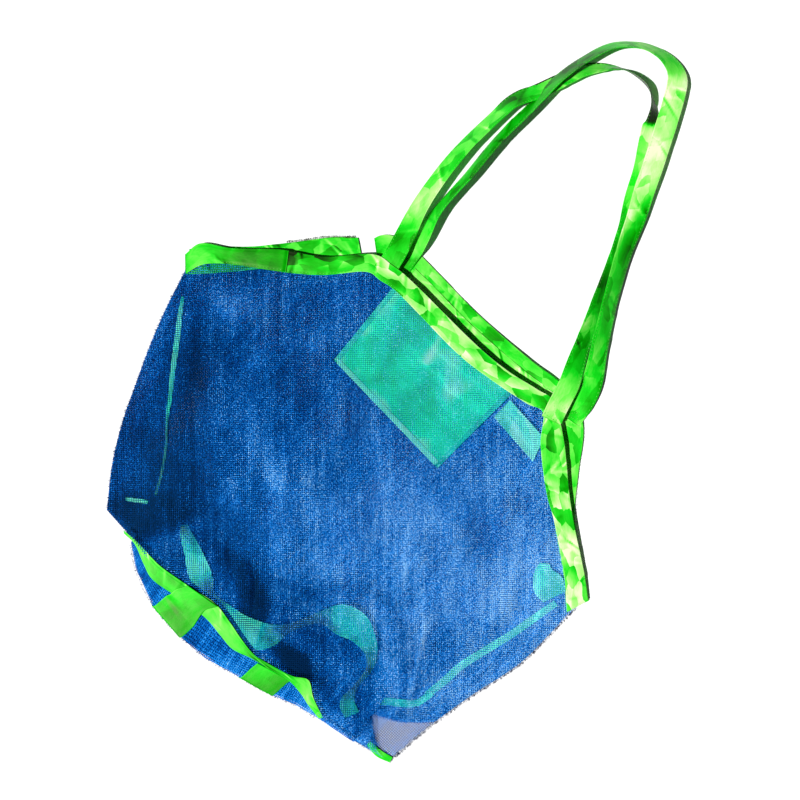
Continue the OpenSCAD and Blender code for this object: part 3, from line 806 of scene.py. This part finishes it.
def base_panel():
    """The folded base. It fades out before its inner fold, which doesn't show through the net."""
    g = np.array([spline(base_profile(x), 132) for x in np.linspace(-172, 182, 140)])
    du, dv = (np.linalg.norm(np.diff(g, axis=k), axis=2).mean(1 - k) for k in (0, 1))
    u = np.concatenate([[0], np.cumsum(du)])[:, None] + 0 * g[..., 0]
    v = np.concatenate([[0], np.cumsum(dv)])[None, :] + 0 * g[..., 0]
    lip = np.linspace(0, 1, g.shape[1])[None, :] < 0.34
    # Behind its lip the base takes the panels' painted light and shade, made darker still as painted shade.
    tone = (np.where(lip, 0.5, panel_tone(g[..., 0], g[..., 1])[0] - 0.08)
            + 0.1 * value_noise(g[..., 0] / 22, g[..., 1] / 14, 81))
    inner = g[..., 1] - np.interp(g[..., 0], *zip(*BASE_OUTER))
    obj = grid_object("folded_base", g, np.stack([u, v], -1) * MM, NET_BASE, tone=tone,
                      open=1.1 * smooth(inner, BASE_FOLD - 55, BASE_FOLD - 3))
    trim(obj, "bag", "mesh", "base_panel")


front_panel()
back_panel()
base_panel()

# ---------------------------------------------------------------- ribbons


def put(strip, name, body, *nodes, held="laid", rests_on=(), places=(), material=SATIN):
    """Builds a Strip as a ribbon, with rows of stitches at places across it."""
    obj = trim(strip.build(name, material), body, "ribbon", *nodes)
    if places:
        trim(strip.stitches(name + "_stitches", THREAD, places), body, "thread")


def rim_bands():
    """The near band laps over itself in a pleat near its left end. The far band has a turned-over edge."""
    outer = [(x, y, RIM_Z + z) for x, y, z in FRONT_OUTER]
    inner = [(x, y, RIM_Z + z) for x, y, z in FRONT_INNER]
    lap = edge_strip(outer, inner, 1.2, FRONT_TONE, cut=(0, 0.198), seed=27, height=0.7, spacing=20,
                     crumple=0.06, shift=lambda k: 2.6 * smooth(k, 0.3, 0.9) - 2.0 * smooth(k, 0.97, 1.0))
    put(lap, "near_rim_lap", "bag", places=[BAND_SEAM])
    near = edge_strip(outer, inner, 1.0, FRONT_TONE, cut=(0.165, 1), seed=21, height=1.0, spacing=14,
                      crumple=0.5, shift=lambda k: -0.9 * (1 - smooth(k, 0.03, 0.1)))
    shade_ends = (21, 27)
    near.tone = near.tone * smooth(near.s, *shade_ends)
    put(near, "near_rim_band", "bag", "rim_band_front", places=[BAND_SEAM])
    out3 = [(x, y, FAR_BAND_Z + 4 * math.exp(-((x - 120) / 70) ** 2)) for x, y in BACK_OUTER]
    in3 = [(x, y, FAR_BAND_Z) for x, y in BACK_INNER]
    for name, cut, seed, nodes in (("far_rim_band", (0.352, 1), 22, ["rim_band_back"]),
                                   ("far_rim_band_left", (0, 0.3), 28, [])):
        far = edge_strip(out3, in3, 1.0, BACK_TONE, cut=cut, seed=seed, height=1.0, spacing=12, floor=0.3,
                         crumple=0.3)
        put(far, name, "bag", *nodes, places=[BAND_SEAM])
    dip = edge_strip(between(out3, in3, 0.7), in3, 0.9, BACK_TONE, cut=(0.28, 0.37), seed=29, height=0.3)
    put(dip, "far_rim_dip", "bag")
    half = [(x, y, z + 1.7) for x, y, z in between(out3, in3, 0.55)]
    over = edge_strip(half, [(x, y, z + 1.2) for x, y, z in in3], 0.7, [v + 0.06 for v in BACK_TONE],
                      cut=(0.44, 0.74), seed=23, height=0.7, spacing=10)
    put(over, "far_rim_turned_edge", "bag", rests_on=["far_rim_band"])
    block = tape([(-136, 63, 20, 0.5), (-128, 70, 26, 0.6), (-115, 74, 26, 0.55), (-101, 69, 22, 0.4)], 3.4,
                 seed=24, height=0.8, spacing=8)
    put(block, "far_rim_fold", "bag", rests_on=["far_rim_band"])
    lobe = tape([(247, -132, 12, 0.8), (254, -142, 26, 0.75), (266, -150, 38, 0.85), (280, -158, 30, 0.8)],
                4.0, seed=25, height=0.8, spacing=7)
    put(lobe, "far_rim_end_fold", "bag", rests_on=["far_rim_band"], material=VEILED)


def handle(name, path, seed, nodes):
    """One carrying handle with its sewn ends."""
    strip = ribbon(path, HANDLE_W, 1.2, seed=seed, height=0.7, spacing=26, floor=0.4, crumple=0.22)
    piece = strip.build(name, SATIN)
    seams = strip.stitches(name + "_stitches", THREAD, [-RIBBON_SEAM, RIBBON_SEAM], sides=(1, -1))
    for obj, slot in ((piece, "ribbon"), (seams, "thread")):
        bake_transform(obj)
    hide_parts(*nodes)


def tapes():
    """The narrow tapes on the side seams and round the base."""
    for name, route, z, seed, nodes in (
            ("seam_tape_left", SEAM_LEFT, FLAT_TAPE_Z, 31, ["side_seam_tape_left"]),
            ("seam_tape_right", SEAM_RIGHT, FLAT_TAPE_Z, 32, ["side_seam_tape_right"]),
            ("seam_tape_right_foot", SEAM_RIGHT_FOOT, 2.9, 32, [])):
        seam = tape(route, z, seed=seed, height=0.2, floor=FLAT_TAPE_FLOOR)
        seam.tone = seam.tone * SEAM_SHADE
        put(seam, name, "bag", *nodes, material=VEILED)
    put(tape(BACK_TAPE, 9.3, seed=33, height=0.6), "far_base_tape", "bag", "base_tape_back",
        rests_on=["folded_base"], material=VEILED)
    front = edge_strip(BASE_TAPE_TOP, BASE_TAPE_LOW, 0.7, BASE_TAPE_TONE, seed=35, height=0.5, spacing=14)
    put(front, "near_base_tape", "bag", "base_tape_front", rests_on=["near_mesh_panel"])
    put(tape([(-208, -356, 4, 0.7), (-196, -350, 5, 0.8), (-184, -344, 4, 0.7)], FLAT_TAPE_Z, seed=37,
             height=0.2, floor=FLAT_TAPE_FLOOR), "short_tape_left", "bag", "base_tape_left", material=VEILED)
    put(tape([(198, -429, 6, 0.5), (215, -432, 9, 0.55), (232, -430, 7, 0.55)], 2.4, seed=38,
             height=0.2, floor=FLAT_TAPE_FLOOR), "short_tape_right", "bag", "base_tape_right")


CROSSING_ROWS = 13                                         # of a strap's edge, where it crosses the tape


def strap_edge(top_x, low_x, over):
    """One edge of a strap: down the lip of the base and back under it. Where over gives its places in x,
    it first crosses the tape above the lip."""
    share = np.linspace(0, 1, 56)
    xs = top_x + (low_x - top_x) * np.minimum(share / 0.45, 1)
    rows = np.array([at(base_profile(float(x)), (0.3 + 5.2 * q) / 11) for x, q in zip(xs, share)])
    rows += np.where(share < 0.5, 1.0, -1.0)[:, None] * np.array([0, 0, 0.8]) - (0, 0.9, 0)
    if over:
        heights = ((-395, 17.4), (-406, 16.6), (-416, 15.4))
        crossing = spline([(x, y, z) for x, (y, z) in zip(over, heights)], CROSSING_ROWS - 1)
        rows = np.vstack([crossing, rows[rows[:, 1] < -420]])
    return rows


def straps():
    """The two straps across the base. The left one crosses over the near base tape."""
    for name, node, edges in (("strap_left", "base_strap_left", ((-97, -109, (-86, -95, -98)),
                                                                 (-48, -61, (-43, -52, -54)))),
                              ("strap_right", "base_strap_right", ((34, 25, ()), (78, 69, ())))):
        sides = [strap_edge(*edge) for edge in edges]
        n = min(len(q) for q in sides)
        sides = [np.vstack([q[:CROSSING_ROWS], q[len(q) - n + CROSSING_ROWS:]]) for q in sides]
        both = even(np.hstack([(sides[0] + sides[1]) / 2, *sides]), 1.6)
        # The tone runs darker towards the base's outer edge; lean darkens the right edge, as painted shade.
        tone = np.interp(both[:, 1], [-450, -425, -412, -396], [0.4, 0.48, 0.54, 0.5])
        strap = Strip(both[:, 3:6], both[:, 6:9], 0.5, tone=tone, seed=39, height=0.5, spacing=9,
                      lean=-0.2, crumple=0.05)
        put(strap, name, "bag", node, rests_on=["folded_base"])


def pocket():
    """Two layers of cloth that hang under the near panel, and a binding round three of their edges."""
    u, v = np.meshgrid(np.linspace(0, 1, 91), np.linspace(1, 0, 61), indexing="ij")
    c = [np.array(p, float) for p in POCKET]

    def place(u, v, lift):
        u, v = u[..., None], v[..., None]
        q = (1 - v) * ((1 - u) * c[0] + u * c[1]) + v * ((1 - u) * c[3] + u * c[2])
        q[..., 2] += lift - 2 * np.sin(math.pi * v[..., 0])
        return q

    wave = value_noise(u * 5, v * 3, 41) + 0.5 * value_noise(u * 11 + v * 3, v * 5, 42)
    # Painted light: the cloth is paler where the wave lifts it; the lines below add paler and darker streaks.
    tone = 0.45 + 0.3 * wave
    for line, reach, amount in (([(0.42, 0.05), (0.47, 0.35)], 0.025, 0.35),
                                ([(0.2, 0.2), (0.3, 0.75)], 0.06, -0.2),
                                ([(0.6, 0.15), (0.75, 0.5)], 0.08, 0.25),
                                ([(0.02, 0.5), (0.2, 0.98)], 0.05, 0.2),
                                ([(0.35, 0.95), (0.8, 0.98)], 0.05, 0.2)):
        tone = tone + amount * np.exp(-(distance(u, v, line) / reach) ** 2)
    size = (0.18, 0.118)
    uv = np.stack([u, v], -1) * size
    for name, lift, node in (("pocket_front_cloth", 0.7, "pocket_front"),
                             ("pocket_back_cloth", -0.5, "pocket_back")):
        g = place(u, v, lift)
        g[..., 2] += 0.9 * wave * np.sin(math.pi * v)
        obj = grid_object(name, g, uv, POCKET_CLOTH, tone=tone)
        trim(obj, "pocket", "pocket_cloth", node)
    w, k = 0.034, np.linspace(0, 1, 61)
    none, full = 0 * k, 0 * k + 1
    for i, (a, b, tone) in enumerate((((none + w, k), (none, k), 0.6), ((full, k), (full - w, k), 0.5),
                                      ((k, full), (k, full - w * 1.6), 0.9))):
        strip = Strip(place(*a, 1.1), place(*b, 1.1), 0.3, tone=tone, seed=43 + i, height=0.2, cols=9,
                      crumple=0.1)
        put(strip, f"pocket_binding_{i + 1}", "pocket", *(["pocket_binding"] if i == 0 else []),
            material=VEILED)


def tab():
    """A short ribbon that hangs beside the pocket."""
    c = [np.array(p, float) for p in TAB]
    s = np.linspace(0, 1, 34)[:, None]
    strip = Strip((1 - s) * c[0] + s * c[1], (1 - s) * c[3] + s * c[2], 0.6, tone=0.95, seed=51, height=0.4,
                  crumple=0.3)
    put(strip, "ribbon_tab", "tab", "inner_tab", held="hung", places=[-RIBBON_SEAM, RIBBON_SEAM],
        material=VEILED)


rim_bands()
handle("near_handle", FRONT_HANDLE, 61, ["handle_front", "handle_front_sewn_ends"])
handle("far_handle", BACK_HANDLE, 62, ["handle_back", "handle_back_sewn_ends"])
tapes()
straps()
pocket()
tab()


def stitch_boxes():
    """The crossed stitches that hold each handle's right end to its band."""
    verts, faces = [], []
    for x, y0, y1, z in ((151, 14, 34, 19.9), (175, 30, 46, 4.9)):
        a, b = x - 9, x + 9
        for p, q in (((a, y0), (b, y0)), ((a, y1), (b, y1)), ((a, y0), (b, y1)), ((a, y1), (b, y0))):
            p, q = np.array((*p, z), float), np.array((*q, z), float)
            n = int(np.linalg.norm(q - p) / 3)
            side = unit(np.cross(q - p, UP))
            for k in range(n):
                s, e = p + (q - p) * k / n, p + (q - p) * (k + 0.75) / n
                stitch(verts, faces, s, (s + e) / 2, e, side, UP, 0.5)
    trim(make_object("handle_stitch_boxes", verts, faces, None, THREAD), "bag", "thread", "handle_stitching")


FRAYED_EDGE = [(-226, 6), (-210, 20), (-192, 37), (-162, 58)]


def loose_threads():
    """Cut edges fray: dark blue along the mesh, and dark ends along the far band's top edge."""
    for name, material, parts in (
            ("mesh_fringe", NET_THREAD, ((LEFT_SIDE, 1.4, 170, 3.0, 71, -1),
                                         (RIGHT_SIDE, 1.4, 520, 5.0, 72, 1),
                                         (BASE_OUTER[1:10], 9.5, 420, 3.4, 73, -1),
                                         (BASE_OUTER[9:], 1.4, 120, 2.5, 74, -1))),
            ("far_rim_fringe", DARK_THREAD, ((FRAYED_EDGE, 3.2, 190, 3.2, 75, 1),
                                             (BACK_OUTER[12:16], 2.6, 60, 1.8, 76, 1)))):
        verts, faces = [], []
        for line, z, count, long, seed, outward in parts:
            v, f = fringe(line, z, count, long, seed, outward)
            faces += [[i + len(verts) for i in face] for face in f]
            verts += v
        trim(make_object(name, verts, faces, None, material), "bag", "thread")


stitch_boxes()
loose_threads()
